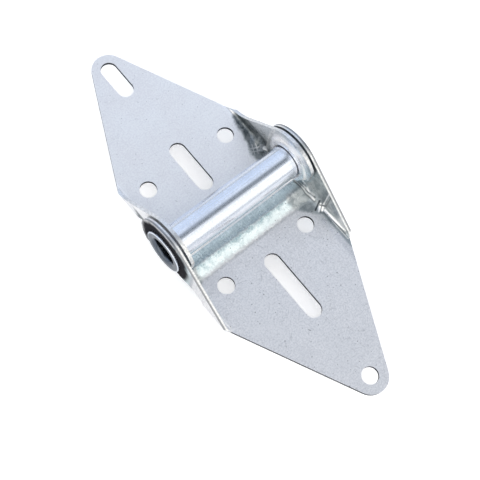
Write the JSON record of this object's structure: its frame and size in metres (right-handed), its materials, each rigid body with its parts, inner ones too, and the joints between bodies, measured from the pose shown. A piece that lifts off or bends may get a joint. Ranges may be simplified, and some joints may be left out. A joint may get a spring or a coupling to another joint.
{
  "type": "garage door hinge",
  "caption": "Folded sheet steel hinge with two tapered leaves turning about a flared steel sleeve that takes a roller stem.",
  "frame": {"origin": "centre of the sleeve's bore, on the axis that the leaves turn about, midway between the ears", "axes": "+X along the sleeve, +Y towards the tip of the upper leaf, +Z away from the door, with the hinge open flat"},
  "size_m": [0.0694, 0.1794, 0.026],
  "materials": {
    "lower_leaf": "satin galvanised",
    "upper_leaf": "satin galvanised",
    "roller_tube": "bright zinc"
  },
  "bodies": {
    "lower": {"lower_leaf": "lower_leaf", "roller_tube": "roller_tube"},
    "upper": {"upper_leaf": "upper_leaf"}
  },
  "joints": [
    {"name": "leaf_fold", "type": "hinge", "parent": "lower", "child": "upper", "pos_m": [0, 0, 0], "axis": [1, 0, 0], "range_deg": [-6, 45]}
  ]
}
